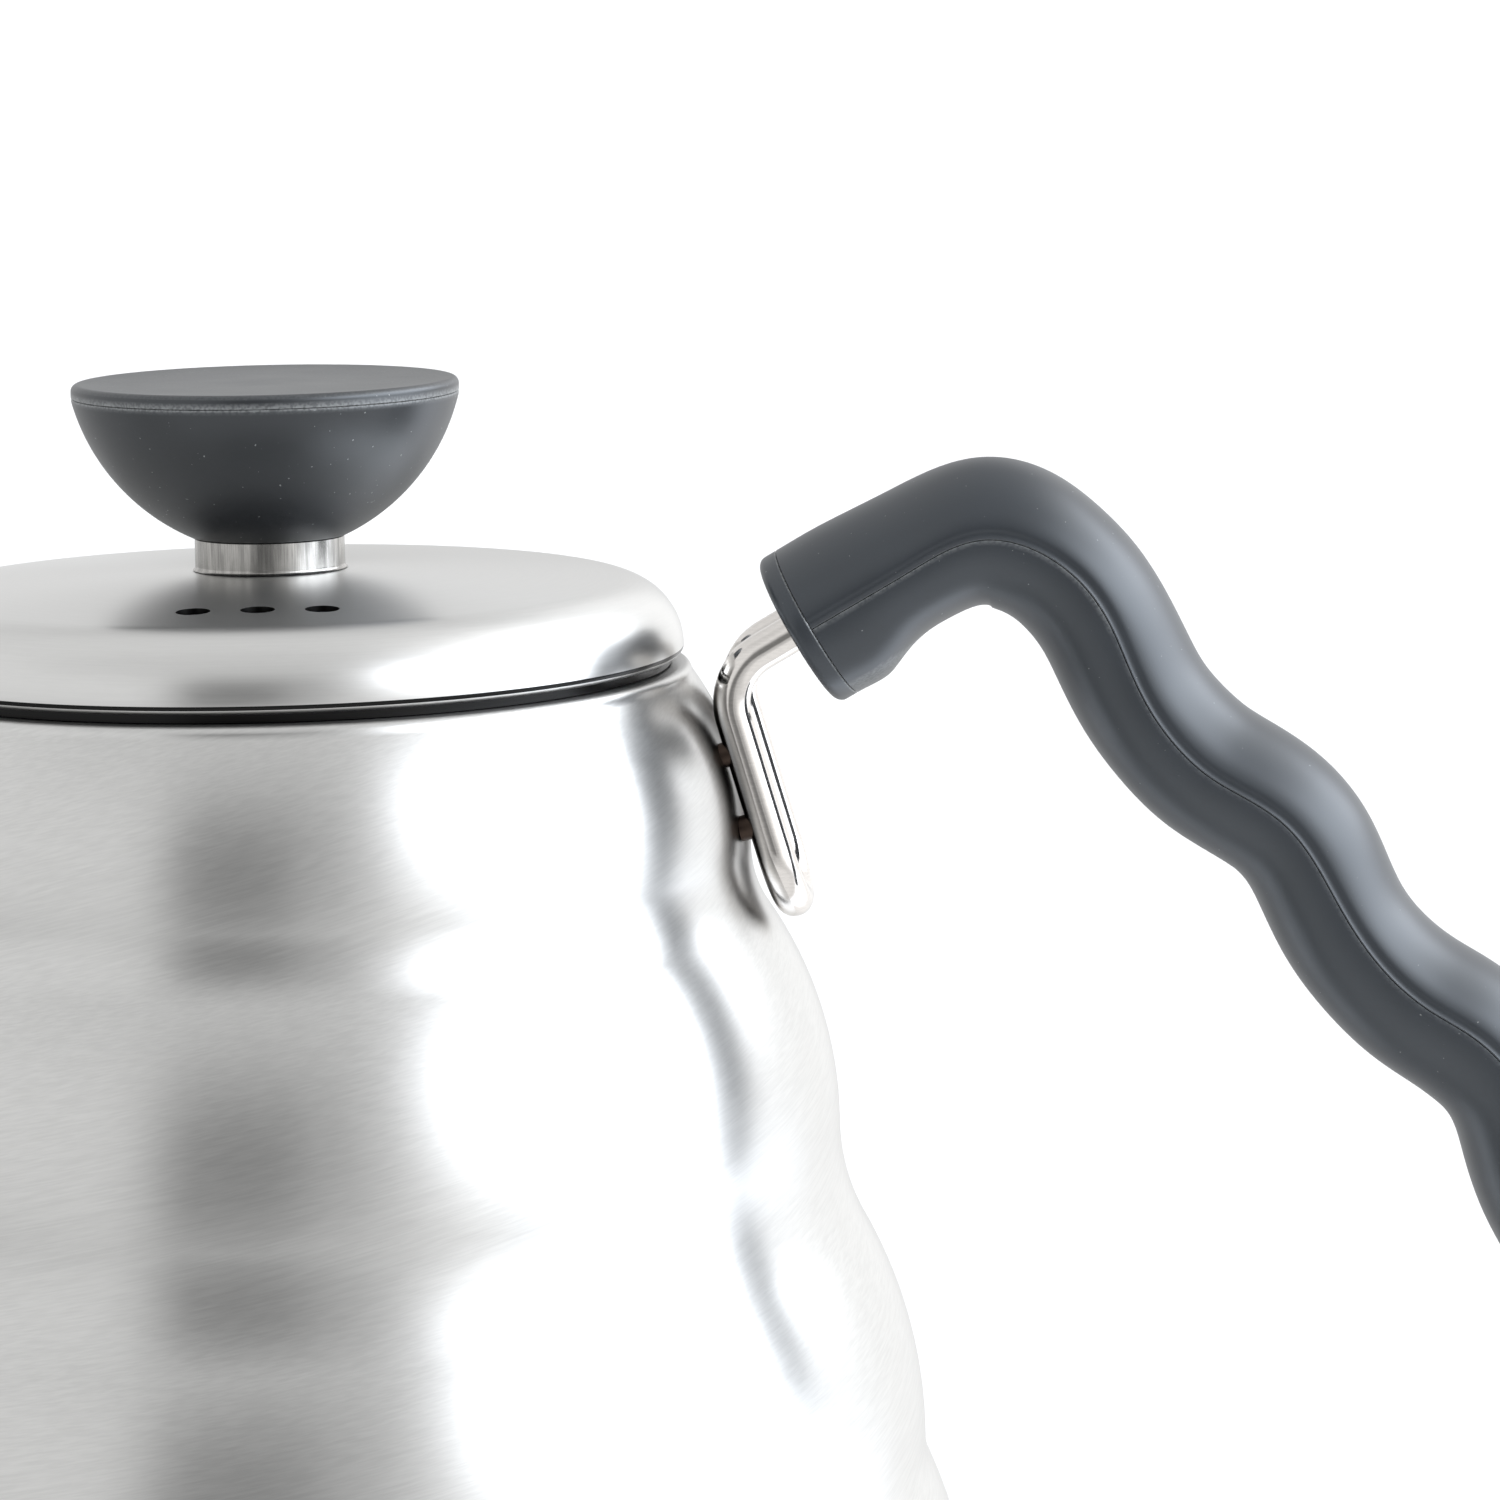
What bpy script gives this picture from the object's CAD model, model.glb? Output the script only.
"""Looks of the gooseneck kettle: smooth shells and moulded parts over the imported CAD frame.

Metres, in the CAD frame: +Z up, the handle towards +X, the spout towards -X. The driving sizes are in
millimetres, and MM turns them into metres. One function builds each piece, and one each material.
"""
import math

import bmesh
import bpy
import numpy as np
from mathutils import Matrix, Vector


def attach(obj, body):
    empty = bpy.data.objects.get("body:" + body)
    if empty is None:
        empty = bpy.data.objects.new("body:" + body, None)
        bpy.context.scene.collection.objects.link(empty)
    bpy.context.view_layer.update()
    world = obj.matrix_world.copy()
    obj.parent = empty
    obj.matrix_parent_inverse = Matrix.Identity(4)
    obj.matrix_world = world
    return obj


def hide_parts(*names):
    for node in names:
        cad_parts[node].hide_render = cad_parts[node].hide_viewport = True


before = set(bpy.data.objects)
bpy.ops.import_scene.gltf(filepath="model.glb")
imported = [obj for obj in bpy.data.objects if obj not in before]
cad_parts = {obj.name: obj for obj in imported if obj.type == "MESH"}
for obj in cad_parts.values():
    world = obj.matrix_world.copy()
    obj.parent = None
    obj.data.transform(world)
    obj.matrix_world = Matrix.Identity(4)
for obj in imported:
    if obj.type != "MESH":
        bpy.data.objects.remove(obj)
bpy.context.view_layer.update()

MM = 0.001

# Sheet metal.
WALL = 0.6
LID_WALL = 0.6

# Body: (lowest radius, height of that radius, radius of the outward arc) of each tier, and the radius of
# the crease below each of the first three, as in CAD.
TIERS = [(48.63, 98.25, 31.7), (57.32, 69.45, 39.7), (65.73, 36.15, 45.9), (71.2, 9.0, 60.8)]
CREASES = [12.2, 23.9, 8.0]
SHOULDER_Z = 116.4
SEAT_Z = 117.3
SEAT_R = 41.6
SHOULDER_BULGE = (0.35, 0.22)
NECK_R = 38.0
NECK_BOTTOM = 112.0
HEEL_R = 8.0
LIP_R = 57.0
# Shade on the seat under the lid, and the heat tint round the bracket's legs.
SEAT_SHADE = 0.45
SEAT_SHADE_FROM = 117.1
SEAT_SHADE_OVER = 0.2
TINT = 0.85
TINT_REACH = 5.2
TINT_FADE = 1.8
TINT_TOP = 112.0

# Spout centre line and radii, as in CAD.
SPOUT_POINTS = [(-56.0, 21.5), (-97.0, 33.5), (-111.0, 99.0), (-133.2, 111.0)]
SPOUT_BENDS = [36.0, 45.0]
SPOUT_ROOT_R = 11.0
SPOUT_TIP_R = 4.3
SPOUT_TAPER = 0.75
SPOUT_FILLET = 1.1
SPOUT_FILLET_REACH = 2.2
SPOUT_TIP_ROLL = 0.28
SPOUT_TIP_OUT = 0.15

# Bracket rod, as in CAD.
ROD_R = 1.9
LEG_Y = 6.0
LEG_LEAN = math.atan(0.287)
LEG_X = 49.7
LEG_Z = 105.2
LEG_LOW_Z = 98.97
GRIP_TILT = math.radians(30.0)
BEND = (46.32, 116.96)
BEND_R = 6.0
ROD_AXIS_UP = 0.45
ROD_IN_GRIP = 15.0
# Tarnish on the rod's side towards the body, below a height.
TARNISH = 0.9
TARNISH_FROM = 0.45
TARNISH_OVER = 0.4
TARNISH_BELOW = 116.0

# Grip: (x, z, height above, height below) along its parting line, as in CAD.
GRIP_FRONT = (55.8, 122.0)
GRIP_LINE = [
    (59.1, 123.9, 8.0, 8.6), (62.6, 125.9, 7.8, 7.1), (66.2, 128.0, 7.5, 6.8), (69.7, 129.9, 7.3, 7.2),
    (73.2, 130.8, 7.4, 7.7), (77.0, 130.2, 7.0, 7.9), (80.4, 128.4, 6.3, 7.9), (83.4, 125.6, 6.0, 7.9),
    (85.7, 121.9, 6.1, 7.7), (87.3, 118.1, 6.4, 7.5), (89.3, 113.8, 6.6, 7.3), (92.0, 109.9, 6.9, 7.2),
    (95.5, 106.6, 7.0, 7.4), (99.3, 104.3, 6.9, 7.6), (102.8, 101.8, 6.8, 7.5), (105.4, 98.6, 6.8, 7.3),
    (107.6, 94.7, 6.5, 7.5), (110.0, 90.5, 6.1, 7.8), (113.2, 86.3, 6.2, 7.9), (117.2, 82.8, 6.4, 8.2),
    (121.3, 80.2, 6.4, 8.4), (124.9, 76.8, 6.4, 8.2), (127.3, 72.6, 6.6, 7.8), (129.0, 67.8, 6.8, 8.0),
    (130.9, 63.0, 6.9, 8.2), (133.0, 59.0, 6.8, 8.2),
]
GRIP_HALF = 9.6
# Powers that shape the two halves' sections, where 1 is an ellipse. The upper half is rounder than in CAD.
ROUND_ABOVE = 1.02
ROUND_BELOW = 0.86
EDGE_EASE = 0.14
TAIL_ROUND = 2.6
TAIL_RINGS = 14
TAIL_STEPS = 14.8
TAIL_TAPER = 0.7
# A shallow crease in the upper half, just above the parting line.
CREASE_DEPTH = 0.14
CREASE_UP = 0.6
CREASE_WIDE = 0.4
# Dust along the parting line, stronger near the front, and on the underside's flare at the front.
SEAM_FRONT = 0.6
SEAM_REST = 0.25
SEAM_FRONT_REACH = 30.0
FLARE_DUST = 0.35
FLARE_BELOW = -6.8
FLARE_REACH = 15.0
CAP_T = 2.3
CAP_EDGE = 0.9
CAP_DUST = 0.8
WELL_R = 3.05
WELL_DEPTH = 9.0
CLAMP_AT = 6.0
CLAMP_SEAT = 4.7
TAIL_STATION = 22
TAIL_SEAT = 5.2

# Lid, as in CAD.
LID_R = 42.1
LID_DOME_R = 400.0
LID_CORNER_R = 7.0
LID_RIM_Z = 119.2
LID_HEM_R = 0.9
LID_HEM_IN = 39.8
SCREW_HOLE_R = 2.2
VENT_R = 1.7
VENT_PITCH = 6.3
VENT_OUT = 28.0
VENT_TURN = math.radians(-84.6)

# Knob, as in CAD.
COLLAR_R = 7.65
COLLAR_TOP = 131.1
COLLAR_FLARE = 0.25
KNOB_FOOT_R = 8.0
KNOB_MID = (15.55, 137.05)
KNOB_RIM = (19.68, 145.3)
KNOB_CAP_Z = 145.6
KNOB_TOP = 147.0
KNOB_CAP_R = 19.7
KNOB_DISH = 0.35
KNOB_EDGE = 0.7
KNOB_LIP = 0.08
KNOB_GAP = 0.02
# Dust at the joint between the knob's bowl and its top, and a film of it on the top.
JOINT_DUST = 0.9
JOINT_DUST_HALF = 0.16
TOP_DUST = 0.12

# Mean radius at which the brushing is wound round the body.
MEAN_R = 60.0

# Studio light by direction: (degrees round from the front towards the handle, brightness).
LEVEL_LIGHT = [
    (-180, 0.84), (-150, 0.88), (-90, 0.93), (-27, 0.92), (-14, 0.52), (5, 0.50), (20, 0.50), (31, 0.78),
    (40, 1.12), (50, 1.5), (62, 2.1), (80, 3.0), (102, 2.8), (112, 1.9), (122, 1.27), (165, 1.25),
    (180, 0.84),
]
LOW_LIGHT = [
    (-180, 0.9), (-90, 0.62), (-24, 0.62), (-8, 0.58), (10, 0.7), (40, 0.8), (78, 0.95), (104, 2.4),
    (120, 2.4), (150, 1.2), (180, 0.9),
]
# Overhead light: (share of the way from the spout's side to the handle's side, brightness), and
# (share of the way from front to back, factor on it).
HIGH_ACROSS = [(0.0, 0.92), (0.60, 0.88), (0.67, 0.94), (0.75, 1.15), (0.84, 2.2), (1.0, 3.0)]
HIGH_DEPTH = [(0.25, 0.86), (0.36, 0.86), (0.50, 0.98), (0.72, 0.95), (0.87, 0.75)]
HIGH_SKEW = 0.25
# Where the low light takes over from the level one going down, and the overhead light going up, by the
# direction's height.
LOW_FROM = [(0.02, 0.0), (0.35, 1.0)]
HIGH_FROM = [(0.45, 0.0), (0.75, 1.0)]
# Patches over all that: (stops by degrees, stops by the direction's height from -1 to 1, brightness). They
# are the dark side of the room behind the camera, a high soft light over the handle, and the pale table.
DARK_SIDE = (
    [(-20, 0.0), (-12, 1.0), (7, 1.0), (15, 0.0)],
    [(-0.25, 0.0), (-0.13, 1.0), (0.36, 1.0), (0.62, 0.0)],
    0.23,
)
HIGH_SIDE = (
    [(32, 0.0), (58, 1.0), (125, 1.0), (145, 0.0)],
    [(0.16, 0.0), (0.30, 1.0), (0.56, 1.0), (0.72, 0.0)],
    5.0,
)
TABLE = (
    [(-70, 0.0), (-40, 1.0), (50, 1.0), (80, 0.0)],
    [(-1.0, 1.0), (-0.56, 1.0), (-0.34, 0.0)],
    1.0,
)
# Light above this brightness comes from the softbox, which is a little cooler.
SOFTBOX_FROM = 1.7
SOFTBOX_TINT = (0.95, 0.99, 1.05)

# Camera, in the CAD frame: where it stands, its direction, its roll, its lens and its sensor.
CAMERA_AT = (85.8, -595.2, 195.35)
CAMERA_LOOK = (-0.06145, 0.98765, -0.14418)
CAMERA_ROLL = math.radians(1.02)
CAMERA_LENS = 141.55
SENSOR = 36.0


# ---------------------------------------------------------------- outlines

def arc_points(centre, radius, start, end, count):
    """Points of an arc between two angles in degrees, ends included."""
    angles = np.radians(np.linspace(start, end, count))
    return [(centre[0] + radius * math.cos(a), centre[1] + radius * math.sin(a)) for a in angles]


def line_points(a, b, step):
    """Evenly spaced points from a towards b, without b."""
    count = max(1, int(round(math.dist(a, b) / step)))
    return [(a[0] + (b[0] - a[0]) * i / count, a[1] + (b[1] - a[1]) * i / count) for i in range(count)]


def polyline(corners, step):
    """Points along straight runs, corners included."""
    points = []
    for a, b in zip(corners, corners[1:]):
        points += line_points(a, b, step)
    return points + [corners[-1]]


def three_point_arc(a, b, c, count):
    """Points of the arc from a through b to c."""
    ax, ay, bx, by, cx, cy = *a, *b, *c
    aa, bb, cc = ax**2 + ay**2, bx**2 + by**2, cx**2 + cy**2
    d = 2 * (ax * (by - cy) + bx * (cy - ay) + cx * (ay - by))
    ux = (aa * (by - cy) + bb * (cy - ay) + cc * (ay - by)) / d
    uy = (aa * (cx - bx) + bb * (ax - cx) + cc * (bx - ax)) / d
    radius = math.dist((ux, uy), a)
    start, through, end = (math.degrees(math.atan2(y - uy, x - ux)) for x, y in (a, b, c))
    through = start + (through - start) % 360
    end = start + (end - start) % 360
    if through > end:
        end -= 360
    return arc_points((ux, uy), radius, start, end, count)


def clipped(value):
    """A number held between 0 and 1."""
    return min(max(value, 0.0), 1.0)


def joined(*runs):
    """One outline from several, without repeated points."""
    points = []
    for run in runs:
        for p in run:
            if not points or math.dist(points[-1], p) > 1e-6:
                points.append(p)
    return points


# ------------------------------------------------------------------ meshes

def new_object(name, verts, faces, smooth=True):
    mesh = bpy.data.meshes.new(name)
    mesh.from_pydata([tuple(v) for v in verts], [], faces)
    mesh.validate()
    mesh.polygons.foreach_set("use_smooth", [smooth] * len(mesh.polygons))
    mesh.update()
    obj = bpy.data.objects.new(name, mesh)
    bpy.context.scene.collection.objects.link(obj)
    return obj


def closed_object(name, verts, faces):
    """An object with a closed mesh, its faces turned outwards."""
    obj = new_object(name, verts, faces)
    bm = bmesh.new()
    bm.from_mesh(obj.data)
    bmesh.ops.recalc_face_normals(bm, faces=bm.faces)
    bm.to_mesh(obj.data)
    bm.free()
    return obj


def tube_faces(rings, around, looped=False):
    """Faces of a tube of rings of points, with its two ends closed, or looped back to its first ring."""
    faces = []
    for i in range(rings if looped else rings - 1):
        j = (i + 1) % rings
        for k in range(around):
            n = (k + 1) % around
            faces.append([i * around + k, i * around + n, j * around + n, j * around + k])
    if not looped:
        faces.append(list(range(around)))
        faces.append([(rings - 1) * around + k for k in range(around)])
    return faces


def turned(name, outline, segments):
    """A surface of revolution about Z from (radius, height) points in millimetres."""
    rings = len(outline)
    verts, index = [], []
    for r, z in outline:
        row = []
        if r < 1e-6:
            row = [len(verts)] * segments
            verts.append((0.0, 0.0, z * MM))
        else:
            for k in range(segments):
                a = 2 * math.pi * k / segments
                row.append(len(verts))
                verts.append((r * MM * math.cos(a), r * MM * math.sin(a), z * MM))
        index.append(row)
    faces = []
    for i in range(rings):
        low, high = index[i], index[(i + 1) % rings]
        for k in range(segments):
            n = (k + 1) % segments
            quad = [low[k], low[n], high[n], high[k]]
            corners = list(dict.fromkeys(quad))
            if len(corners) > 2:
                faces.append(corners)
    return closed_object(name, verts, faces)


def crisp(obj, degrees=35.0):
    """Smooth shading with sharp edges kept where faces turn by more than the angle."""
    obj.data.set_sharp_from_angle(angle=math.radians(degrees))


def cut(obj, *cutters):
    """Subtracts closed meshes from obj and removes them."""
    for cutter in cutters:
        modifier = obj.modifiers.new("cut", "BOOLEAN")
        modifier.operation = "DIFFERENCE"
        modifier.solver = "EXACT"
        modifier.object = cutter
    depsgraph = bpy.context.evaluated_depsgraph_get()
    mesh = bpy.data.meshes.new_from_object(obj.evaluated_get(depsgraph))
    obj.modifiers.clear()
    obj.data = mesh
    for cutter in cutters:
        bpy.data.objects.remove(cutter)


def marked(obj, name, domain, values):
    """Stores one number for each point or face, for the material to read."""
    layer = obj.data.attributes.new(name, "FLOAT", domain)
    layer.data.foreach_set("value", [float(v) for v in values])
    return obj


def swept(name, centres, normals, binormals, radii, segments):
    """A round tube about a list of centres, in millimetres, with a radius at each."""
    verts = []
    for c, n, b, r in zip(centres, normals, binormals, radii):
        for k in range(segments):
            a = 2 * math.pi * k / segments
            ca, sa = math.cos(a), math.sin(a)
            verts.append(tuple(MM * (c[i] + r * (n[i] * ca + b[i] * sa)) for i in range(3)))
    return closed_object(name, verts, tube_faces(len(centres), segments))


def place(piece, body, slot, material, *nodes):
    """Gives a new piece its material, its body and the CAD nodes it stands for."""
    piece.data.materials.clear()
    piece.data.materials.append(material)
    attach(piece, body)
    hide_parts(*nodes)


# -------------------------------------------------------------------- body

def tier_centre(tier):
    return (tier[0] - tier[2], tier[1])


def tier_points(inset, per_arc):
    """The tiered side from the shoulder down to the heel, moved inwards by inset."""
    centre = tier_centre(TIERS[0])
    start = math.degrees(math.asin((SHOULDER_Z - inset / 2 - centre[1]) / (TIERS[0][2] - inset)))
    runs = []
    for upper, lower, crease in zip(TIERS, TIERS[1:], CREASES):
        runs.append(arc_points(centre, upper[2] - inset, start, 0, per_arc))
        low_centre = tier_centre(lower)
        fillet = crease + inset
        side = upper[0] - inset
        across = side + fillet - low_centre[0]
        rise = math.sqrt((lower[2] - inset + fillet) ** 2 - across ** 2)
        fillet_centre = (side + fillet, low_centre[1] + rise)
        start = math.degrees(math.atan2(rise, across))
        runs.append(arc_points(fillet_centre, fillet, 180, 180 + start, per_arc // 2))
        centre = low_centre
    runs.append(arc_points(centre, TIERS[-1][2] - inset, start, 0, per_arc))
    return joined(*runs)


def body_outline():
    top, inside_top = tier_points(0, 2)[0], tier_points(WALL, 2)[0]
    heel = (TIERS[-1][0] - HEEL_R, TIERS[-1][1])
    foot = heel[1] - HEEL_R
    middle = ((top[0] + SEAT_R) / 2 + SHOULDER_BULGE[0], (top[1] + SEAT_Z) / 2 + SHOULDER_BULGE[1])
    outside = joined(
        arc_points((NECK_R + WALL, SEAT_Z - WALL), WALL, 180, 90, 8),
        three_point_arc((SEAT_R, SEAT_Z), middle, top, 10),
        tier_points(0, 40),
        arc_points(heel, HEEL_R, 0, -90, 20),
        [(LIP_R, foot), (LIP_R, foot + WALL)],
    )
    inside = joined(
        arc_points(heel, HEEL_R - WALL, -90, 0, 12),
        tier_points(WALL, 16)[::-1],
        [inside_top, (NECK_R + WALL, SEAT_Z - WALL), (NECK_R + WALL, NECK_BOTTOM), (NECK_R, NECK_BOTTOM)],
    )
    return joined(outside, inside)


def body_shade(body):
    """Marks the seat under the lid, and the surface that welding has darkened near the bracket's legs."""
    shade = []
    for vertex in body.data.vertices:
        x, y, z = (c / MM for c in vertex.co)
        beside = min(max(z, LEG_LOW_Z), TINT_TOP)
        away = math.dist((x, abs(y), z), (leg_x(beside), LEG_Y, beside)) if x > 0 else TINT_REACH
        tint = TINT * clipped((TINT_REACH - away) / TINT_FADE)
        seat = SEAT_SHADE * clipped((z - SEAT_SHADE_FROM) / SEAT_SHADE_OVER)
        shade.append(max(tint, seat))
    return marked(body, "shade", "POINT", shade)


def make_body():
    body = turned("kettle_body", body_outline(), 384)
    cut(body, spout_cutter(WALL + 0.02))
    crisp(body)
    return body_shade(body)


# ------------------------------------------------------------------- spout

def rounded_path(points, bends, step):
    """(x, z) points along a path whose corners are tangent arcs."""
    runs = []
    start = points[0]
    for before, corner, after, bend in zip(points, points[1:], points[2:], bends):
        come = Vector(corner) - Vector(before)
        leave = Vector(after) - Vector(corner)
        come.normalize()
        leave.normalize()
        turn = come.angle(leave)
        trim = bend * math.tan(turn / 2)
        first = Vector(corner) - come * trim
        last = Vector(corner) + leave * trim
        middle = Vector(corner) + (leave - come).normalized() * (bend / math.cos(turn / 2) - bend)
        runs.append(polyline([start, tuple(first)], step))
        count = max(4, int(bend * turn / step))
        runs.append(three_point_arc(tuple(first), tuple(middle), tuple(last), count))
        start = tuple(last)
    runs.append(polyline([start, points[-1]], step))
    return joined(*runs)


def spout_radius(share, inset):
    return SPOUT_ROOT_R + (SPOUT_TIP_R - SPOUT_ROOT_R) * share ** SPOUT_TAPER - inset


def spout_frames(step=1.0):
    """Centres, tangents and length shares along the spout."""
    path = np.array(rounded_path(SPOUT_POINTS, SPOUT_BENDS, step))
    tangents = np.gradient(path, axis=0)
    tangents /= np.linalg.norm(tangents, axis=1)[:, None]
    lengths = np.concatenate([[0], np.cumsum(np.linalg.norm(np.diff(path, axis=0), axis=1))])
    return path, tangents, lengths / lengths[-1]


def spout_cutter(inset):
    """The spout as one closed tapering solid, to cut its hole in the body."""
    path, tangents, shares = spout_frames()
    centres = [(x, 0.0, z) for x, z in path]
    normals = [(-t[1], 0.0, t[0]) for t in tangents]
    sideways = [(0.0, 1.0, 0.0)] * len(centres)
    radii = [spout_radius(s, inset) for s in shares]
    return swept("spout_cutter", centres, normals, sideways, radii, 48)


def make_spout():
    """The hollow spout, trimmed to the body, with a small weld fillet at its root and a rolled tip."""
    path, tangents, shares = spout_frames()
    normals = np.column_stack([-tangents[:, 1], tangents[:, 0]])
    side = np.array(tier_points(0, 40))[::-1]
    radii = spout_radius(shares, 0)
    segments = 64
    starts = []
    for k in range(segments):
        a = 2 * math.pi * k / segments
        x = path[:, 0] + radii * np.cos(a) * normals[:, 0]
        z = path[:, 1] + radii * np.cos(a) * normals[:, 1]
        y = radii * math.sin(a)
        starts.append(root_share(x, y, z, shares, side))
    return spout_shell(path, normals, shares, starts, segments)


def root_share(x, y, z, shares, side):
    """The share of the spout's length where one of its lines leaves the body's side."""
    body = np.interp(z, side[:, 1], side[:, 0])
    clear = [math.hypot(px, py) - pr for px, py, pr in zip(x, y, body)]
    first = max(i for i, c in enumerate(clear[:len(clear) // 2]) if c < 0)
    weight = clear[first] / (clear[first] - clear[first + 1])
    return shares[first] + weight * (shares[first + 1] - shares[first])


def spout_shell(path, normals, shares, starts, segments):
    """Rings from the root along the outside, round the tip and back along the inside."""
    count = 130
    total = float(np.sum(np.linalg.norm(np.diff(path, axis=0), axis=1)))
    verts = []

    def add_ring(level, inset, flare):
        for k in range(segments):
            a = 2 * math.pi * k / segments
            share = starts[k] + (1 - starts[k]) * level
            centre = [np.interp(share, shares, path[:, i]) for i in range(2)]
            normal = [np.interp(share, shares, normals[:, i]) for i in range(2)]
            reach = (share - starts[k]) * total
            root = max(0.0, 1 - reach / SPOUT_FILLET_REACH) ** 2
            radius = spout_radius(share, inset) + flare * SPOUT_FILLET * root
            verts.append((
                MM * (centre[0] + radius * math.cos(a) * normal[0]),
                MM * radius * math.sin(a),
                MM * (centre[1] + radius * math.cos(a) * normal[1]),
            ))

    levels = [(i / count) ** 1.15 for i in range(count + 1)]
    for level in levels:
        add_ring(level, 0, 1)
    for inset in (SPOUT_TIP_ROLL * 0.4, WALL - SPOUT_TIP_ROLL * 0.4):
        add_ring(1.0 + SPOUT_TIP_OUT / total, inset, 0)
    for level in reversed(levels):
        add_ring(level, WALL, 0)
    faces = tube_faces(len(verts) // segments, segments, looped=True)
    spout = closed_object("gooseneck_spout", verts, faces)
    crisp(spout, 50)
    return spout


# ----------------------------------------------------------------- bracket

def leg_x(z):
    return LEG_X - math.tan(LEG_LEAN) * (z - LEG_Z)


def rod_centre_line():
    """3-D points along one leg, round the bottom bend and up the other leg."""
    end = grip_point(ROD_IN_GRIP, ROD_AXIS_UP)
    low = (leg_x(LEG_LOW_Z), LEG_LOW_Z)
    leg = rounded_path([end, BEND, low], [BEND_R], 0.35)
    down = (math.sin(LEG_LEAN), -math.cos(LEG_LEAN))
    near = [(x, -LEG_Y, z) for x, z in leg]
    turn = []
    for a in np.linspace(0, math.pi, 60)[1:-1]:
        reach = LEG_Y * math.sin(a)
        turn.append((low[0] + down[0] * reach, -LEG_Y * math.cos(a), low[1] + down[1] * reach))
    far = [(x, LEG_Y, z) for x, z in reversed(leg)]
    return np.array(near + turn + far)


def make_bracket():
    points = rod_centre_line()
    tangents = np.gradient(points, axis=0)
    tangents /= np.linalg.norm(tangents, axis=1)[:, None]
    normal = np.cross(tangents[0], (0, 1, 0))
    normals, binormals = [], []
    for t in tangents:
        normal = normal - np.dot(normal, t) * t
        normal /= np.linalg.norm(normal)
        normals.append(normal.copy())
        binormals.append(np.cross(t, normal))
    rod = swept("wire_bracket", points, normals, binormals, [ROD_R] * len(points), 40)
    shade = []
    for vertex in rod.data.vertices:
        facing = clipped((-vertex.normal.x - TARNISH_FROM) / TARNISH_OVER)
        shade.append(TARNISH * facing * (vertex.co.z < TARNISH_BELOW * MM))
    return marked(rod, "shade", "POINT", shade)


# -------------------------------------------------------------------- grip

def grip_axes():
    out = (math.cos(GRIP_TILT), math.sin(GRIP_TILT))
    return out, (-out[1], out[0])


def grip_point(distance, height):
    """(x, z) of a point measured from the grip's front along its rising front axis."""
    out, up = grip_axes()
    return tuple(GRIP_FRONT[i] + out[i] * distance + up[i] * height for i in range(2))


def spline(knots, values, at, first=None):
    """A smooth cubic through values at knots, with an optional first slope."""
    n = len(knots)
    steps = np.diff(knots)
    slopes = np.diff(values, axis=0) / steps[:, None]
    matrix = np.zeros((n, n))
    right = np.zeros((n, values.shape[1]))
    for i in range(1, n - 1):
        matrix[i, i - 1:i + 2] = steps[i], 2 * (steps[i - 1] + steps[i]), steps[i - 1]
        right[i] = 3 * (steps[i] * slopes[i - 1] + steps[i - 1] * slopes[i])
    matrix[0, 0] = 1
    right[0] = slopes[0] if first is None else first
    matrix[-1, -1] = 1
    right[-1] = slopes[-1]
    rates = np.linalg.solve(matrix, right)
    i = np.clip(np.searchsorted(knots, at, side="right") - 1, 0, n - 2)
    h = steps[i][:, None]
    t = ((at - knots[i]) / steps[i])[:, None]
    h00, h10 = 2 * t**3 - 3 * t**2 + 1, t**3 - 2 * t**2 + t
    h01, h11 = -2 * t**3 + 3 * t**2, t**3 - t**2
    return h00 * values[i] + h10 * h * rates[i] + h01 * values[i + 1] + h11 * h * rates[i + 1]


def grip_stations(count):
    """Rows of (x, z, above, below, tangent x, tangent z) along the parting line."""
    rows = np.array([GRIP_FRONT + GRIP_LINE[0][2:]] + GRIP_LINE)
    knots = np.concatenate([[0], np.cumsum(np.linalg.norm(np.diff(rows[:, :2], axis=0), axis=1))])
    out, _ = grip_axes()
    at = np.linspace(0, knots[-1], count)
    line = spline(knots, rows[:, :2], at, np.array(out))
    heights = spline(knots, rows[:, 2:], at)
    tangents = np.gradient(line, at, axis=0)
    tangents[0] = out
    tangents /= np.linalg.norm(tangents, axis=1)[:, None]
    return np.column_stack([line, heights, tangents])


def grip_half(name, side):
    """Half of the grip, closed across the parting line, with eased edges and a rounded tail."""
    body = grip_stations(300)
    around = 130 if side > 0 else 64
    rows = [(row, 1.0, 0.0) for row in body]
    for i in range(1, TAIL_RINGS + 1):
        a = math.pi / 2 * i / TAIL_STEPS
        rows.append((body[-1], math.cos(a) ** TAIL_TAPER, TAIL_ROUND * math.sin(a)))
    verts = []
    for row, scale, beyond in rows:
        height = (row[2] if side > 0 else row[3]) * scale
        half = GRIP_HALF * scale
        centre = (row[0] + row[4] * beyond, row[1] + row[5] * beyond)
        up = (-row[5] * side, row[4] * side)
        for across, rise in half_profile(half, height, side, around, EDGE_EASE * scale):
            verts.append((MM * (centre[0] + up[0] * rise), MM * across, MM * (centre[1] + up[1] * rise)))
    return closed_object(name, verts, tube_faces(len(rows), len(verts) // len(rows)))


def section_point(angle, half, height, power):
    """(across, rise) of a half section at an angle round it."""
    c, s = math.cos(angle), max(math.sin(angle), 0.0)
    return math.copysign(abs(c) ** power, c) * half, s ** power * height


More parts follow.
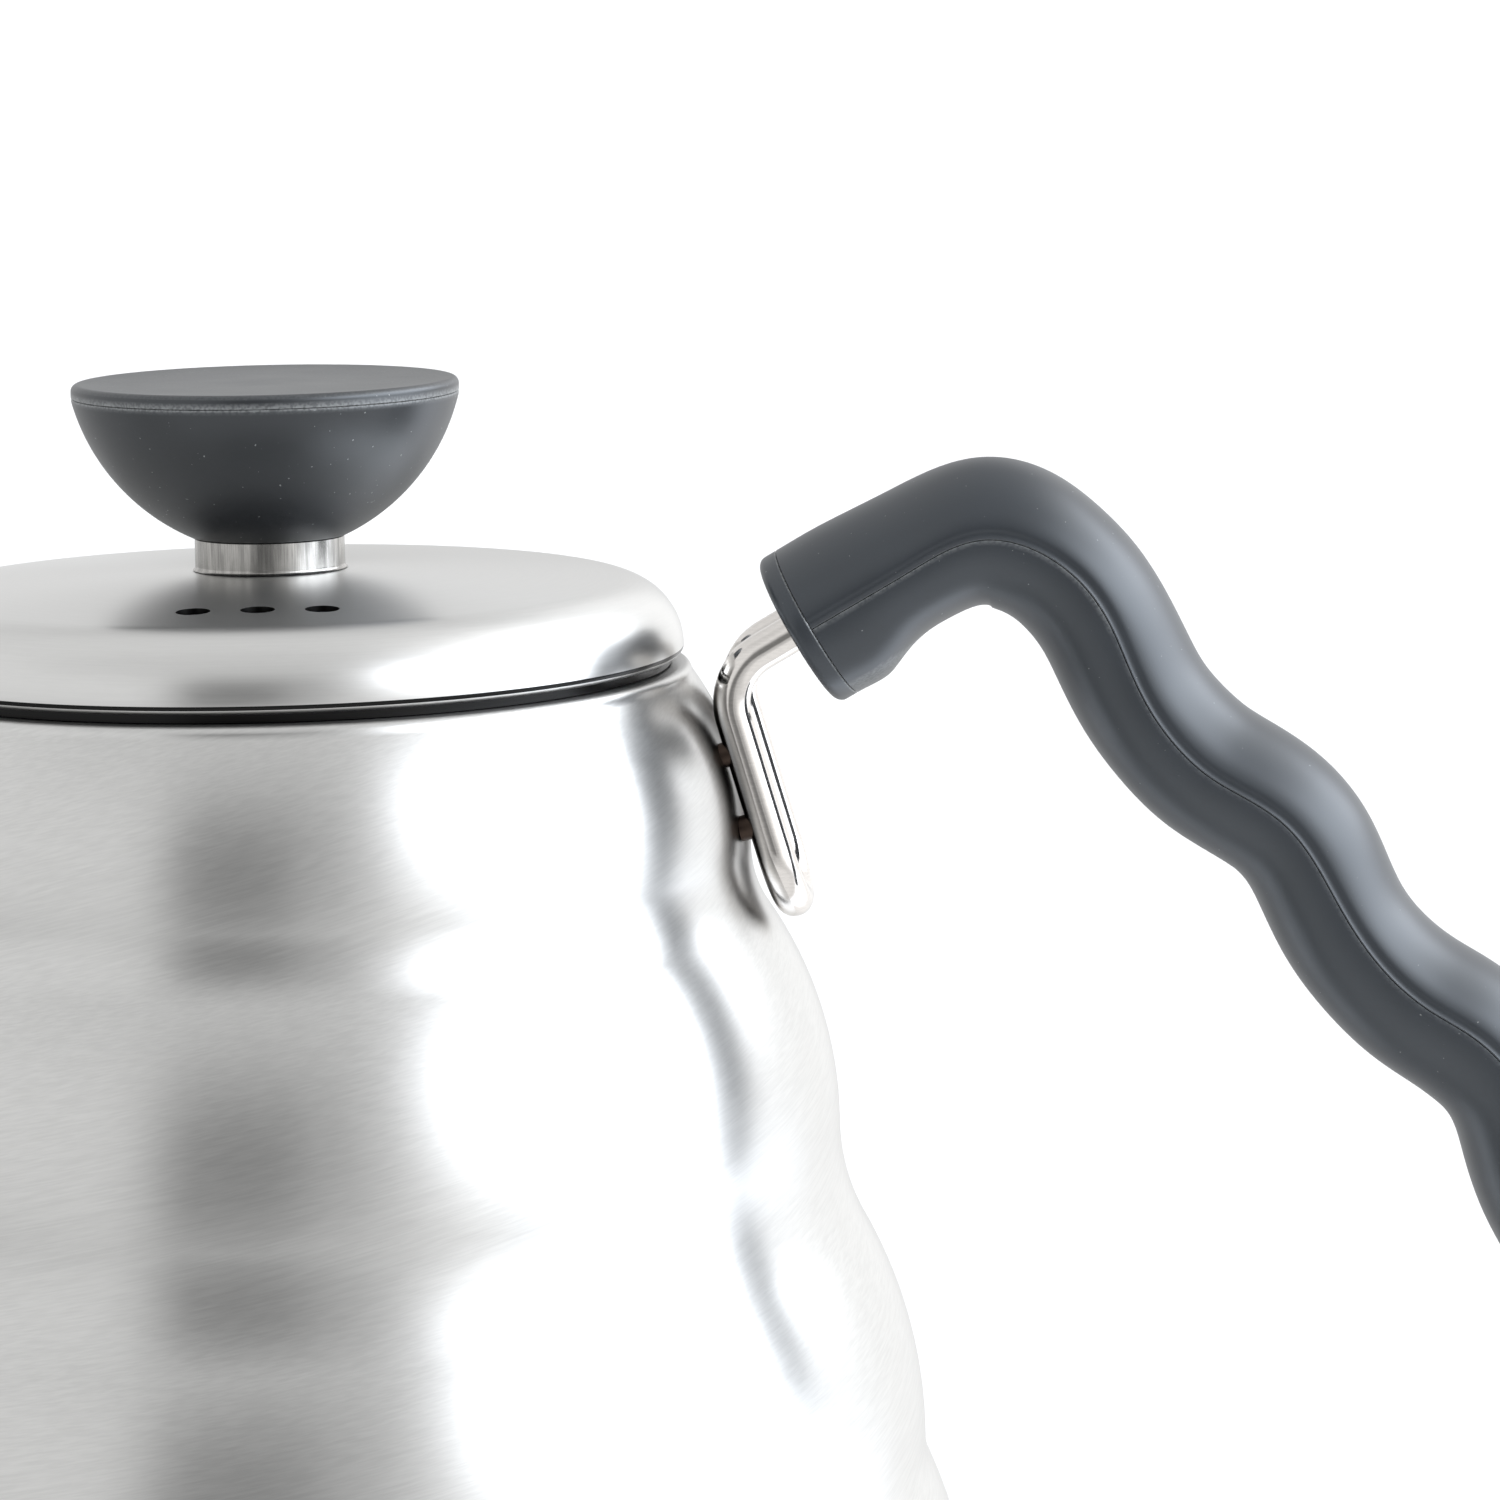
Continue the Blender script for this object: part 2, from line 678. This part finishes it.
def half_profile(half, height, side, around, ease):
    """(across, rise) points of a half section: the rounded side, then the flat joint with eased corners."""
    power = ROUND_ABOVE if side > 0 else ROUND_BELOW
    points = []
    for i in range(around + 1):
        angle = math.pi * i / around
        width, rise = section_point(angle, half, height, power)
        if side > 0:
            depth = CREASE_DEPTH * math.exp(-((rise - CREASE_UP) / CREASE_WIDE) ** 2)
            width -= math.copysign(depth, math.cos(angle))
        points.append((width, rise))
    shoulder = [p for p in points if p[1] > ease * 1.4]
    first = [(half, ease * 1.1), (half - ease * 0.25, ease * 0.35), (half - ease, 0.02)]
    last = [(-x, y) for x, y in reversed(first)]
    flat = [(-half * f, 0.02) for f in (0.6, 0.2, -0.2, -0.6)]
    return [first[1], first[0]] + shoulder + [last[2], last[1], last[0]] + flat + [first[2]]


def seam_dust(obj, reach):
    """Marks the points near the parting line, where a light line of dust and wear shows."""
    rows = grip_stations(400)
    weights = []
    for vertex in obj.data.vertices:
        x, y, z = (c / MM for c in vertex.co)
        row = rows[np.argmin((rows[:, 0] - x) ** 2 + (rows[:, 1] - z) ** 2)]
        rise = (z - row[1]) * row[4] - (x - row[0]) * row[5]
        from_front = math.dist((x, z), GRIP_FRONT)
        level = SEAM_FRONT if from_front < SEAM_FRONT_REACH else SEAM_REST
        seam = level * math.exp(-(rise / reach) ** 2) * (abs(y) > GRIP_HALF * 0.7)
        flare = FLARE_DUST * (rise < FLARE_BELOW) * (from_front < FLARE_REACH)
        weights.append(max(seam, flare))
    return marked(obj, "dust", "POINT", weights)


def make_grip_upper():
    upper = grip_half("grip_back", 1)
    crisp(upper, 40)
    return seam_dust(upper, 0.05)


def make_cap():
    """The moulded end cap: a plate with a rounded outer edge."""
    row = grip_stations(40)[0]
    out, _ = grip_axes()
    flank = CAP_T - CAP_EDGE
    half_way = 32
    steps = [(-0.02, 0.25), (-0.14, 0.06), (-0.3, 0.0), (-flank, 0.0)]
    for i in range(1, 8):
        a = math.pi / 2 * i / 7
        steps.append((-flank - CAP_EDGE * math.sin(a), CAP_EDGE * (1 - math.cos(a))))
    verts = []
    for beyond, inset in steps:
        for side in (1, -1):
            height, power = (row[2], ROUND_ABOVE) if side > 0 else (row[3], ROUND_BELOW)
            for k in range(half_way):
                angle = math.pi * (k if side > 0 else half_way - k) / half_way
                across, rise = section_point(angle, GRIP_HALF - inset, height - inset, power)
                x = row[0] - row[5] * side * rise + out[0] * beyond
                z = row[1] + row[4] * side * rise + out[1] * beyond
                verts.append((MM * x, MM * across, MM * z))
    ring = 2 * half_way
    cap = closed_object("grip_end_cap", verts, tube_faces(len(steps), ring))
    crisp(cap, 40)
    return marked(cap, "dust", "POINT", [CAP_DUST if i < 2 * ring else 0.0 for i in range(len(verts))])


def screw_well(seat, direction):
    """A cutter for a screw's counterbore, from its seat downwards."""
    rings = 9
    centres = []
    for reach in np.linspace(0, WELL_DEPTH, rings):
        centres.append((seat[0] - direction[0] * reach, 0.0, seat[1] - direction[1] * reach))
    normals = [(direction[1], 0.0, -direction[0])] * rings
    sideways = [(0.0, 1.0, 0.0)] * rings
    return swept("well", centres, normals, sideways, [WELL_R] * rings, 40)


def make_grip_lower():
    lower = grip_half("grip_underside", -1)
    _, up = grip_axes()
    rows = grip_stations(len(GRIP_LINE) * 40 + 1)
    target = GRIP_LINE[TAIL_STATION - 1]
    row = rows[np.argmin(np.hypot(rows[:, 0] - target[0], rows[:, 1] - target[1]))]
    tail_up = (-row[5], row[4])
    tail_seat = (target[0] - tail_up[0] * TAIL_SEAT, target[1] - tail_up[1] * TAIL_SEAT)
    cut(lower, screw_well(grip_point(CLAMP_AT, -CLAMP_SEAT), up), screw_well(tail_seat, tail_up))
    crisp(lower, 40)
    return seam_dust(lower, 0.2)


# --------------------------------------------------------------------- lid

def dome_centre_z():
    reach = LID_DOME_R - LID_CORNER_R
    return LID_RIM_Z - math.sqrt(reach ** 2 - (LID_R - LID_CORNER_R) ** 2)


def dome_z(radius, inset=0.0):
    return dome_centre_z() + math.sqrt((LID_DOME_R - inset) ** 2 - radius ** 2)


def dome_points(inset, crown_count, corner_count):
    corner = (LID_R - LID_CORNER_R, LID_RIM_Z)
    tilt = math.degrees(math.atan2(LID_RIM_Z - dome_centre_z(), corner[0]))
    start = math.degrees(math.acos(SCREW_HOLE_R / (LID_DOME_R - inset)))
    crown = arc_points((0, dome_centre_z()), LID_DOME_R - inset, start, tilt, crown_count)
    return joined(crown, arc_points(corner, LID_CORNER_R - inset, tilt, 0, corner_count))


def make_lid():
    hem_z = LID_RIM_Z - LID_HEM_R
    outline = joined(
        dome_points(0, 60, 40),
        arc_points((LID_R - LID_HEM_R, LID_RIM_Z), LID_HEM_R, 0, -90, 14),
        [(LID_HEM_IN, hem_z), (LID_HEM_IN, hem_z + LID_WALL), (LID_R - LID_WALL, hem_z + LID_WALL)],
        dome_points(LID_WALL, 30, 20)[::-1],
    )
    lid = turned("lid_dome", outline, 384)
    vents = []
    for step in (-1, 0, 1):
        x = VENT_OUT * math.cos(VENT_TURN) - step * VENT_PITCH * math.sin(VENT_TURN)
        y = VENT_OUT * math.sin(VENT_TURN) + step * VENT_PITCH * math.cos(VENT_TURN)
        centres = [(x, y, 120.0), (x, y, 124.0), (x, y, 130.0)]
        vents.append(swept("vent", centres, [(1, 0, 0)] * 3, [(0, 1, 0)] * 3, [VENT_R] * 3, 48))
    cut(lid, *vents)
    crisp(lid)
    dark = []
    for face in lid.data.polygons:
        near = math.hypot(face.center.x, face.center.y) < 1.1 * VENT_OUT * MM
        vent_wall = abs(face.normal.z) < 0.5 and near
        under = face.normal.z < 0 and face.center.z > (LID_RIM_Z - LID_HEM_R / 2) * MM
        dark.append(vent_wall or under)
    return marked(lid, "shade", "FACE", dark)


# -------------------------------------------------------------------- knob

def make_collar():
    low = dome_z(0)
    foot = (COLLAR_R + COLLAR_FLARE, low)
    outline = joined(
        [(SCREW_HOLE_R, low), foot],
        three_point_arc(foot, (COLLAR_R + 0.05, low + 0.2), (COLLAR_R, low + 0.5), 6),
        polyline([(COLLAR_R, low + 0.5), (COLLAR_R, COLLAR_TOP - 0.15)], 0.4),
        [(COLLAR_R - 0.12, COLLAR_TOP), (SCREW_HOLE_R, COLLAR_TOP)],
    )
    collar = turned("knob_collar_ring", outline, 192)
    crisp(collar)
    return collar


def joint_dust(obj, level):
    """Marks the ring of points at the joint between the knob's bowl and its top."""
    weights = []
    for vertex in obj.data.vertices:
        x, y, z = (c / MM for c in vertex.co)
        outside = math.hypot(x, y) > KNOB_CAP_R - 0.5
        ring = JOINT_DUST * math.exp(-((z - level) / JOINT_DUST_HALF) ** 2) * outside
        weights.append(max(ring, TOP_DUST * (z > KNOB_TOP - KNOB_DISH - 0.1)))
    return marked(obj, "dust", "POINT", weights)


def make_bowl():
    top = KNOB_CAP_Z - KNOB_GAP
    outline = joined(
        [(0.0, COLLAR_TOP), (KNOB_FOOT_R * 0.5, COLLAR_TOP), (KNOB_FOOT_R - 0.3, COLLAR_TOP)],
        three_point_arc((KNOB_FOOT_R, COLLAR_TOP + 0.05), KNOB_MID, KNOB_RIM, 60),
        [(KNOB_RIM[0] - 0.02, KNOB_CAP_Z - KNOB_LIP), (KNOB_RIM[0] - KNOB_LIP, top)],
        [(KNOB_RIM[0] * 0.9, top), (0.0, top)],
    )
    bowl = turned("knob_bowl_body", outline, 256)
    crisp(bowl)
    return joint_dust(bowl, KNOB_CAP_Z - 0.1)


def make_knob_cap():
    rim = KNOB_CAP_R - KNOB_EDGE
    low = KNOB_CAP_Z + KNOB_GAP
    dish = []
    for i in range(int(rim / 0.5)):
        dish.append((rim - i * 0.5, KNOB_TOP - KNOB_DISH * (1 - math.exp(-i * 0.16))))
    outline = joined(
        [(0.0, low), (KNOB_CAP_R * 0.9, low), (KNOB_CAP_R - KNOB_LIP, low)],
        [(KNOB_CAP_R, KNOB_CAP_Z + KNOB_LIP)],
        arc_points((rim, KNOB_TOP - KNOB_EDGE), KNOB_EDGE, 0, 90, 14),
        dish,
        [(0.0, KNOB_TOP - KNOB_DISH)],
    )
    cap = turned("knob_top", outline, 256)
    crisp(cap)
    return joint_dust(cap, KNOB_CAP_Z + 0.05)


# --------------------------------------------------------------- materials

class Nodes:
    """A small helper for building one material's or world's node tree."""

    def __init__(self, owner):
        owner.use_nodes = True
        self.tree = owner.node_tree
        self.tree.nodes.clear()

    def add(self, kind, **values):
        node = self.tree.nodes.new(kind)
        for key, value in values.items():
            setattr(node, key, value)
        return node

    def link(self, source, target):
        self.tree.links.new(source, target)

    def math(self, operation, a, b=None, c=None):
        node = self.add("ShaderNodeMath", operation=operation)
        for i, value in enumerate((a, b, c)):
            if value is None:
                continue
            if isinstance(value, (int, float)):
                node.inputs[i].default_value = value
            else:
                self.link(value, node.inputs[i])
        return node.outputs[0]

    def noise(self, vector, scale, detail=3.0, roughness=0.55):
        node = self.add("ShaderNodeTexNoise")
        node.inputs["Scale"].default_value = scale
        node.inputs["Detail"].default_value = detail
        node.inputs["Roughness"].default_value = roughness
        self.link(vector, node.inputs["Vector"])
        return node.outputs["Fac"]

    def parts(self, output):
        """The x, y and z of a texture coordinate."""
        coordinates = self.add("ShaderNodeTexCoord")
        separate = self.add("ShaderNodeSeparateXYZ")
        self.link(coordinates.outputs[output], separate.inputs["Vector"])
        return [separate.outputs[i] for i in range(3)]

    def stretched(self, scale):
        """Object coordinates, scaled by a different amount along each axis."""
        coordinates = self.add("ShaderNodeTexCoord")
        mapping = self.add("ShaderNodeMapping")
        mapping.inputs["Scale"].default_value = scale
        self.link(coordinates.outputs["Object"], mapping.inputs["Vector"])
        return mapping.outputs["Vector"]

    def ramp(self, value, stops, interpolation="EASE"):
        node = self.add("ShaderNodeValToRGB")
        node.color_ramp.interpolation = interpolation
        elements = node.color_ramp.elements
        while len(elements) < len(stops):
            elements.new(0.5)
        for element, (position, colour) in zip(elements, stops):
            element.position = position
            rgb = colour if isinstance(colour, tuple) else (colour,) * 3
            element.color = (*rgb, 1.0)
        self.link(value, node.inputs["Fac"])
        return node.outputs["Color"]

    def mix(self, factor, a, b):
        """One colour to another."""
        node = self.add("ShaderNodeMix", data_type="RGBA")
        self.link(factor, node.inputs["Factor"])
        for socket, value in (("A", a), ("B", b)):
            if isinstance(value, tuple):
                node.inputs[socket].default_value = (*value, 1.0)
            else:
                self.link(value, node.inputs[socket])
        return node.outputs["Result"]

    def mark(self, name):
        """A number stored on the mesh; nought where the mesh has none."""
        return self.add("ShaderNodeAttribute", attribute_name=name).outputs["Fac"]

    def above(self, height):
        """One above a height of the object's own, nought below it."""
        _, _, z = self.parts("Object")
        return self.math("GREATER_THAN", z, height * MM)

    def span(self, value, low, high):
        """Maps 0..1 to low..high."""
        node = self.add("ShaderNodeMapRange")
        node.inputs["To Min"].default_value = low
        node.inputs["To Max"].default_value = high
        self.link(value, node.inputs["Value"])
        return node.outputs["Result"]

    def bump(self, height, strength, distance):
        node = self.add("ShaderNodeBump")
        node.inputs["Strength"].default_value = strength
        node.inputs["Distance"].default_value = distance
        self.link(height, node.inputs["Height"])
        return node.outputs["Normal"]


def new_material(name, metallic):
    """A material, the helper for its nodes, and its shader, wired to the output."""
    material = bpy.data.materials.new(name)
    nodes = Nodes(material)
    shader = nodes.add("ShaderNodeBsdfPrincipled")
    shader.inputs["Metallic"].default_value = metallic
    output = nodes.add("ShaderNodeOutputMaterial")
    nodes.link(shader.outputs["BSDF"], output.inputs["Surface"])
    return material, nodes, shader


def bearing(nodes, x, y):
    """The angle round from the front towards the handle."""
    return nodes.math("ARCTAN2", x, nodes.math("MULTIPLY", y, -1.0))


def wound(nodes, along, across, lean):
    """Coordinates wound round the Z axis: arc, radius and height, scaled along and across the brushing."""
    x, y, z = nodes.parts("Object")
    arc = nodes.math("MULTIPLY", bearing(nodes, x, y), MEAN_R * MM)
    tilted = nodes.math("SUBTRACT", z, nodes.math("MULTIPLY", arc, lean))
    joined_up = nodes.add("ShaderNodeCombineXYZ")
    nodes.link(nodes.math("MULTIPLY", arc, along), joined_up.inputs["X"])
    square = nodes.math("ADD", nodes.math("MULTIPLY", x, x), nodes.math("MULTIPLY", y, y))
    radius = nodes.math("SQRT", square)
    nodes.link(nodes.math("MULTIPLY", radius, across), joined_up.inputs["Y"])
    nodes.link(nodes.math("MULTIPLY", tilted, across), joined_up.inputs["Z"])
    return joined_up.outputs["Vector"]


def brushed_steel(name, colour, rough, anisotropic, grain, lean, bump, along=280.0, across=2600.0,
                  dark_above=None):
    """Steel brushed round the Z axis: short fine streaks in its colour, roughness and height.

    It is dark where its mesh is marked, or above a height of its own.
    """
    material, nodes, shader = new_material(name, 1.0)
    shader.inputs["Anisotropic"].default_value = anisotropic
    shader.inputs["Anisotropic Rotation"].default_value = 0.25
    streaks = nodes.noise(wound(nodes, along, across, lean), 1.0, 3.0, 0.6)
    long_streaks = nodes.noise(wound(nodes, along * 0.15, across * 2.0, lean), 1.0, 2.0, 0.5)
    clouds = nodes.noise(nodes.stretched((70.0, 70.0, 110.0)), 1.0, 3.0)
    both = nodes.math("MULTIPLY", nodes.math("ADD", streaks, long_streaks), 0.5)
    dark = tuple(c * (1 - grain) for c in colour)
    tone = nodes.ramp(both, [(0.3, dark), (0.7, tuple(colour))])
    shade = nodes.mark("shade") if dark_above is None else nodes.above(dark_above)
    shaded = nodes.mix(shade, tone, (0.02, 0.02, 0.02))
    nodes.link(shaded, shader.inputs["Base Color"])
    fine = nodes.span(both, rough - 0.03, rough + 0.03)
    nodes.link(nodes.math("ADD", fine, nodes.span(clouds, -0.01, 0.01)), shader.inputs["Roughness"])
    nodes.link(nodes.bump(both, bump, 0.00003), shader.inputs["Normal"])
    tangent = nodes.add("ShaderNodeTangent", direction_type="RADIAL", axis="Z")
    nodes.link(tangent.outputs["Tangent"], shader.inputs["Tangent"])
    return material


def polished_steel(name, colour, rough):
    """Bright plated steel with faint waviness and hairline marks, dark where its mesh is marked."""
    material, nodes, shader = new_material(name, 1.0)
    waves = nodes.noise(nodes.stretched((420.0, 420.0, 420.0)), 1.0, 2.0)
    marks = nodes.noise(nodes.stretched((900.0, 900.0, 5200.0)), 1.0, 3.0)
    tone = nodes.ramp(marks, [(0.3, tuple(c * 0.93 for c in colour)), (0.7, tuple(colour))])
    nodes.link(nodes.mix(nodes.mark("shade"), tone, (0.05, 0.035, 0.025)), shader.inputs["Base Color"])
    nodes.link(nodes.span(marks, rough * 0.6, rough * 1.5), shader.inputs["Roughness"])
    nodes.link(nodes.bump(waves, 0.12, 0.00015), shader.inputs["Normal"])
    return material


def moulded_plastic(name, colour, rough, dust):
    """Satin moulded phenolic: a fine skin, soft tone changes, a few specks and dusty joints."""
    material, nodes, shader = new_material(name, 0.0)
    soft = nodes.noise(nodes.stretched((90.0, 90.0, 90.0)), 1.0, 3.0)
    skin = nodes.noise(nodes.stretched((5200.0, 5200.0, 5200.0)), 1.0, 2.0)
    specks = nodes.noise(nodes.stretched((3600.0, 3600.0, 3600.0)), 1.0, 0.0)
    patches = nodes.noise(nodes.stretched((160.0, 160.0, 160.0)), 1.0, 2.0)
    tone = nodes.ramp(soft, [(0.3, tuple(c * 0.9 for c in colour)), (0.7, tuple(c * 1.1 for c in colour))])
    lot = nodes.math("MULTIPLY_ADD", patches, 0.12, specks)
    loose = nodes.ramp(lot, [(0.0, 0.0), (dust, 0.0), (min(dust + 0.03, 1.0), 1.0)], "LINEAR")
    broken = nodes.ramp(specks, [(0.35, 0.45), (0.6, 1.0)], "LINEAR")
    joint = nodes.math("MULTIPLY", nodes.mark("dust"), broken)
    dusty = nodes.math("MAXIMUM", loose, joint)
    coloured = nodes.mix(nodes.math("MULTIPLY", dusty, 0.8), tone, (0.30, 0.31, 0.31))
    nodes.link(coloured, shader.inputs["Base Color"])
    nodes.link(nodes.span(soft, rough - 0.05, rough + 0.06), shader.inputs["Roughness"])
    nodes.link(nodes.bump(skin, 0.10, 0.00003), shader.inputs["Normal"])
    shader.inputs["Specular IOR Level"].default_value = 1.0
    shader.inputs["Specular Tint"].default_value = (0.90, 0.95, 1.0, 1.0)
    return material


def brass():
    """Turned brass with fine grain."""
    material, nodes, shader = new_material("brass", 1.0)
    grain = nodes.noise(nodes.stretched((700.0, 700.0, 3000.0)), 1.0, 3.0)
    tone = nodes.ramp(grain, [(0.3, (0.62, 0.45, 0.2)), (0.7, (0.78, 0.6, 0.3))])
    nodes.link(tone, shader.inputs["Base Color"])
    nodes.link(nodes.span(grain, 0.25, 0.4), shader.inputs["Roughness"])
    return material


def floor_material():
    """Plain pale studio paper with a faint mottle."""
    material, nodes, shader = new_material("studio_floor", 0.0)
    mottle = nodes.noise(nodes.stretched((3.0, 3.0, 3.0)), 1.0, 3.0)
    nodes.link(nodes.ramp(mottle, [(0.3, 0.88), (0.7, 0.92)]), shader.inputs["Base Color"])
    shader.inputs["Roughness"].default_value = 0.9
    return material


# ----------------------------------------------------------------- staging

def light_colour(value):
    """Neutral light, or the cooler light of the softbox where it is bright."""
    tint = SOFTBOX_TINT if value > SOFTBOX_FROM else (1.0, 1.0, 1.0)
    return tuple(value * t for t in tint)


def compass(stops):
    """Ramp stops from (degrees round from the front, brightness), with the wall behind at both ends."""
    return [((degrees + 180.0) / 360.0, light_colour(value)) for degrees, value in stops]


def make_world():
    """A soft studio: brightness by compass direction, for level, low and overhead directions."""
    world = bpy.data.worlds.new("studio")
    bpy.context.scene.world = world
    nodes = Nodes(world)
    x, y, z = nodes.parts("Generated")
    share = nodes.math("ADD", nodes.math("DIVIDE", bearing(nodes, x, y), 2 * math.pi), 0.5)
    level = nodes.ramp(share, compass(LEVEL_LIGHT))
    low = nodes.ramp(share, compass(LOW_LIGHT))
    skew = nodes.math("MULTIPLY_ADD", y, HIGH_SKEW, x)
    across = nodes.ramp(nodes.math("MULTIPLY_ADD", skew, 0.5, 0.5), HIGH_ACROSS)
    depth = nodes.ramp(nodes.math("MULTIPLY_ADD", y, 0.5, 0.5), HIGH_DEPTH)
    high = nodes.add("ShaderNodeMix", data_type="RGBA", blend_type="MULTIPLY")
    high.inputs["Factor"].default_value = 1.0
    nodes.link(across, high.inputs["A"])
    nodes.link(depth, high.inputs["B"])
    down = nodes.ramp(nodes.math("MULTIPLY", z, -1.0), LOW_FROM)
    lower = nodes.mix(down, level, low)
    whole = nodes.mix(nodes.ramp(z, HIGH_FROM), lower, high.outputs["Result"])
    for round_stops, height_stops, brightness in (DARK_SIDE, HIGH_SIDE, TABLE):
        height = nodes.math("MULTIPLY_ADD", z, 0.5, 0.5)
        in_round = nodes.ramp(share, [((d + 180.0) / 360.0, v) for d, v in round_stops])
        in_height = nodes.ramp(height, [((h + 1) / 2, v) for h, v in height_stops])
        here = nodes.math("MULTIPLY", in_round, in_height)
        whole = nodes.mix(here, whole, light_colour(brightness))
    background = nodes.add("ShaderNodeBackground")
    nodes.link(whole, background.inputs["Color"])
    background.inputs["Strength"].default_value = 1.0
    output = nodes.add("ShaderNodeOutputWorld")
    nodes.link(background.outputs["Background"], output.inputs["Surface"])


def make_floor():
    size = 40.0
    verts = [(-size, -size, 0), (size, -size, 0), (size, size, 0), (-size, size, 0)]
    floor = new_object("studio_floor", verts, [(0, 1, 2, 3)], smooth=False)
    floor.data.materials.append(floor_material())
    floor.visible_glossy = False


def make_camera():
    camera = bpy.data.cameras.new("camera")
    camera.lens = CAMERA_LENS
    camera.sensor_width = SENSOR
    camera.clip_start = 0.01
    obj = bpy.data.objects.new("camera", camera)
    place_at = Matrix.Translation(Vector(CAMERA_AT) * MM)
    turn = Vector(CAMERA_LOOK).to_track_quat("-Z", "Y").to_matrix().to_4x4()
    obj.matrix_world = place_at @ turn @ Matrix.Rotation(-CAMERA_ROLL, 4, "Z")
    bpy.context.scene.collection.objects.link(obj)
    bpy.context.scene.camera = obj


def dress_cad_nodes(materials):
    """Gives the CAD nodes that stay in view their materials."""
    choice = {
        "base_plate": "base", "bracket_welds": "weld", "clamp_plate": "hardware",
        "grip_screws": "hardware", "grip_inserts": "brass", "lid_skirt": "skirt",
        "flat_washer": "hardware", "lock_washer": "hardware", "knob_screw": "hardware",
        "knob_insert": "brass",
    }
    for node, key in choice.items():
        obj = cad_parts[node]
        obj.data.materials.clear()
        obj.data.materials.append(materials[key])


def main():
    # The numbers after each steel's name and colour are its rough, anisotropic, grain, lean and bump.
    materials = {
        "body": brushed_steel("body_steel", (0.70, 0.70, 0.69), 0.32, 0.70, 0.10, 0.22, 0.18),
        "spout": brushed_steel("spout_steel", (0.70, 0.70, 0.69), 0.27, 0.0, 0.06, 0.0, 0.12),
        "lid": brushed_steel("lid_steel", (0.72, 0.72, 0.71), 0.30, 0.6, 0.04, 0.0, 0.10),
        "base": brushed_steel("base_steel", (0.62, 0.61, 0.60), 0.34, 0.0, 0.12, 0.0, 0.2),
        "skirt": brushed_steel(
            "skirt_steel", (0.66, 0.65, 0.64), 0.28, 0.4, 0.1, 0.0, 0.15, dark_above=SEAT_Z),
        "collar": brushed_steel(
            "collar_steel", (0.50, 0.49, 0.47), 0.22, 0.0, 0.5, 0.0, 0.3, along=1250.0, across=150.0),
        "polished": polished_steel("polished_steel", (0.78, 0.75, 0.72), 0.10),
        "hardware": polished_steel("hardware_steel", (0.62, 0.62, 0.63), 0.2),
        "grip": moulded_plastic("grip_plastic", (0.013, 0.017, 0.023), 0.38, 0.935),
        "knob": moulded_plastic("knob_plastic", (0.007, 0.008, 0.010), 0.38, 0.90),
        "weld": polished_steel("weld_steel", (0.07, 0.05, 0.04), 0.4),
        "brass": brass(),
    }
    place(make_body(), "kettle", "body_steel", materials["body"], "body_shell")
    place(make_spout(), "kettle", "body_steel", materials["spout"], "spout_tube")
    place(make_bracket(), "kettle", "polished_steel", materials["polished"], "handle_bracket")
    place(make_grip_upper(), "kettle", "grip_plastic", materials["grip"], "grip_upper")
    place(make_grip_lower(), "kettle", "grip_plastic", materials["grip"], "grip_lower")
    place(make_cap(), "kettle", "grip_plastic", materials["grip"], "grip_cap")
    place(make_lid(), "lid", "lid_steel", materials["lid"], "lid_shell")
    place(make_collar(), "lid", "collar_steel", materials["collar"], "knob_collar")
    place(make_bowl(), "lid", "knob_plastic", materials["knob"], "knob_bowl")
    place(make_knob_cap(), "lid", "knob_plastic", materials["knob"], "knob_cap")
    dress_cad_nodes(materials)
    make_floor()
    make_world()
    make_camera()
    bpy.context.scene.view_settings.view_transform = "Standard"


main()
